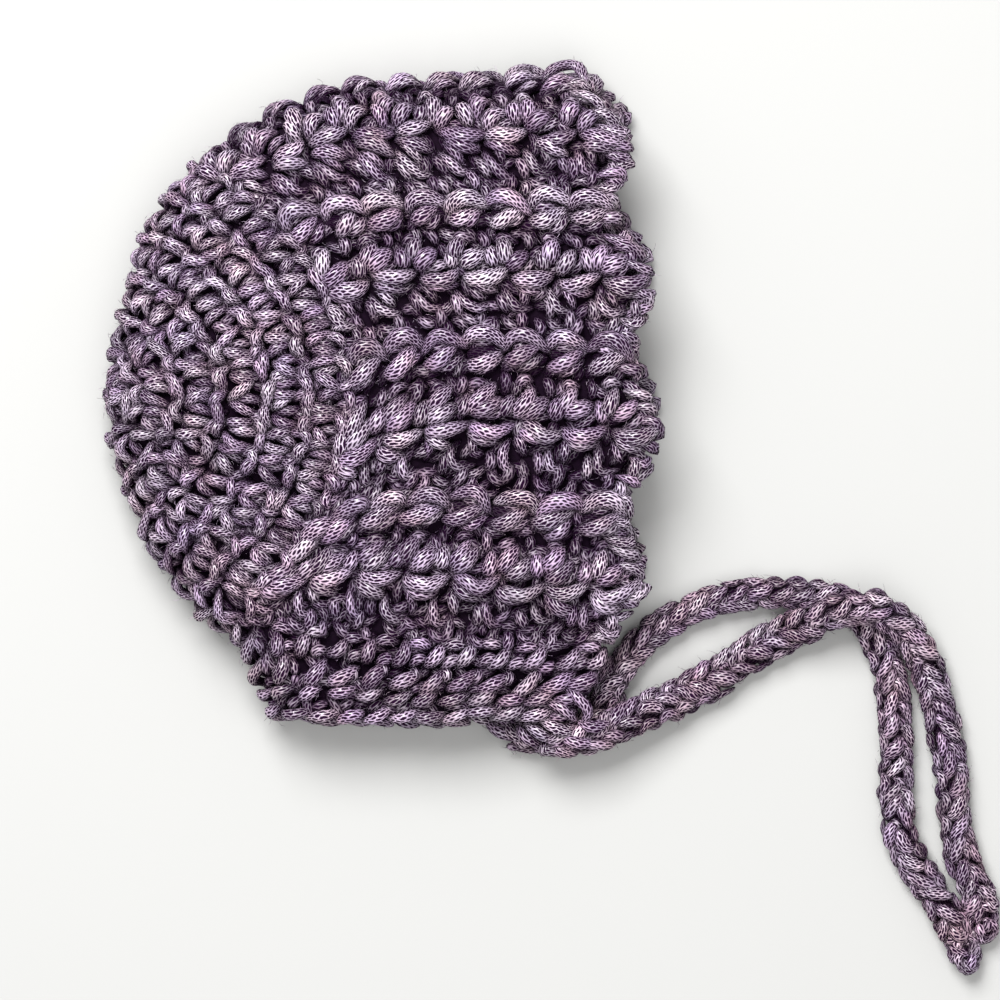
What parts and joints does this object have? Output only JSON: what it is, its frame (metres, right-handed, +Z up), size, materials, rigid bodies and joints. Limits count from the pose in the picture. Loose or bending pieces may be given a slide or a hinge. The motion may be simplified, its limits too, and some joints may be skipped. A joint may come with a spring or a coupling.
{
  "type": "crochet bonnet",
  "caption": "Crocheted newborn bonnet lying on its side, a ridged hood on a round crown with a neck band and corded ties.",
  "frame": {"origin": "on the surface that the bonnet lies on, under the middle of its bounding box without the ties", "axes": "+X towards the face opening, +Y towards the top of the head, +Z up from the surface through the side of the head"},
  "size_m": [0.1882, 0.1921, 0.0257],
  "materials": {
    "yarn": "dusty mauve knitted-tape yarn with a slight satin sheen"
  },
  "bodies": {
    "root": {"crown": "yarn", "hood_panel": "yarn", "neck_band": "yarn", "near_tie": "yarn", "near_tie_knot": "yarn", "far_tie": "yarn", "far_tie_knot": "yarn"}
  },
  "joints": []
}
